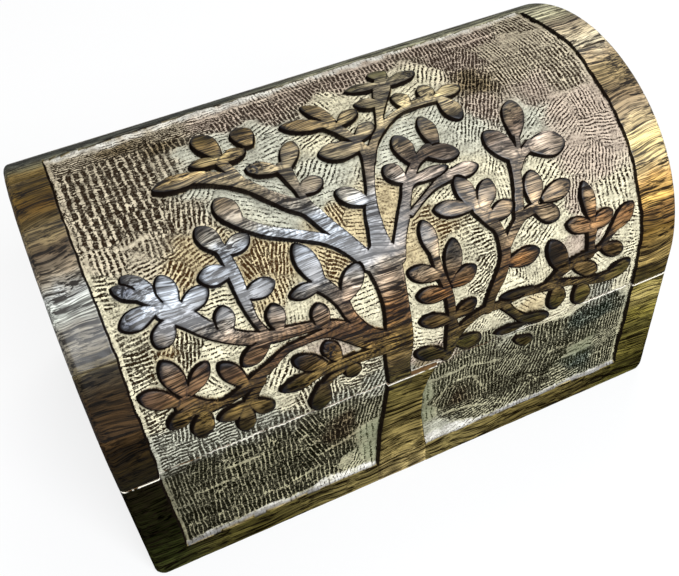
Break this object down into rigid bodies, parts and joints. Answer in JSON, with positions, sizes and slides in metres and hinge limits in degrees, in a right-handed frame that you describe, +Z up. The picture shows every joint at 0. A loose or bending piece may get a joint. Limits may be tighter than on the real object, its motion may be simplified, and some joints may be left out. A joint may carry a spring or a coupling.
{
  "type": "keepsake box",
  "caption": "Small wooden keepsake chest with a hinged barrel-top lid built of staves and a tree carved in relief over the front and the dome.",
  "frame": {"origin": "centre of the underside of the base", "axes": "+X along the box to the right, +Y to the back, +Z up"},
  "size_m": [0.203, 0.1254, 0.1229],
  "materials": {
    "olive_wood": "hand-rubbed, stained and scorched hardwood",
    "brown_wood": "hand-rubbed, stained and scorched hardwood with a limewashed ground",
    "inner_wood": "plain, unfinished",
    "brass": "dull"
  },
  "bodies": {
    "base": {"base_front_board": "olive_wood", "base_back_board": "olive_wood", "base_end_left": "olive_wood", "base_end_right": "olive_wood", "bottom_board": "inner_wood", "hinge_left_base_leaf": "brass", "hinge_right_base_leaf": "brass", "hinge_left_pin": "brass", "hinge_right_pin": "brass", "base_hinge_screws": "brass"},
    "lid": {"lid_stave_1": "brown_wood", "lid_stave_2": "brown_wood", "lid_stave_3": "brown_wood", "lid_stave_4": "brown_wood", "lid_stave_5": "brown_wood", "lid_stave_6": "brown_wood", "lid_stave_7": "brown_wood", "lid_stave_8": "brown_wood", "lid_stave_9": "brown_wood", "lid_end_left": "brown_wood", "lid_end_right": "brown_wood", "hinge_left_lid_leaf": "brass", "hinge_right_lid_leaf": "brass", "lid_hinge_screws": "brass"}
  },
  "joints": [
    {"name": "lid_hinge", "type": "hinge", "parent": "base", "child": "lid", "pos_m": [0, 0.0587, 0.0542], "axis": [-1, 0, 0], "range_deg": [0, 95]}
  ]
}
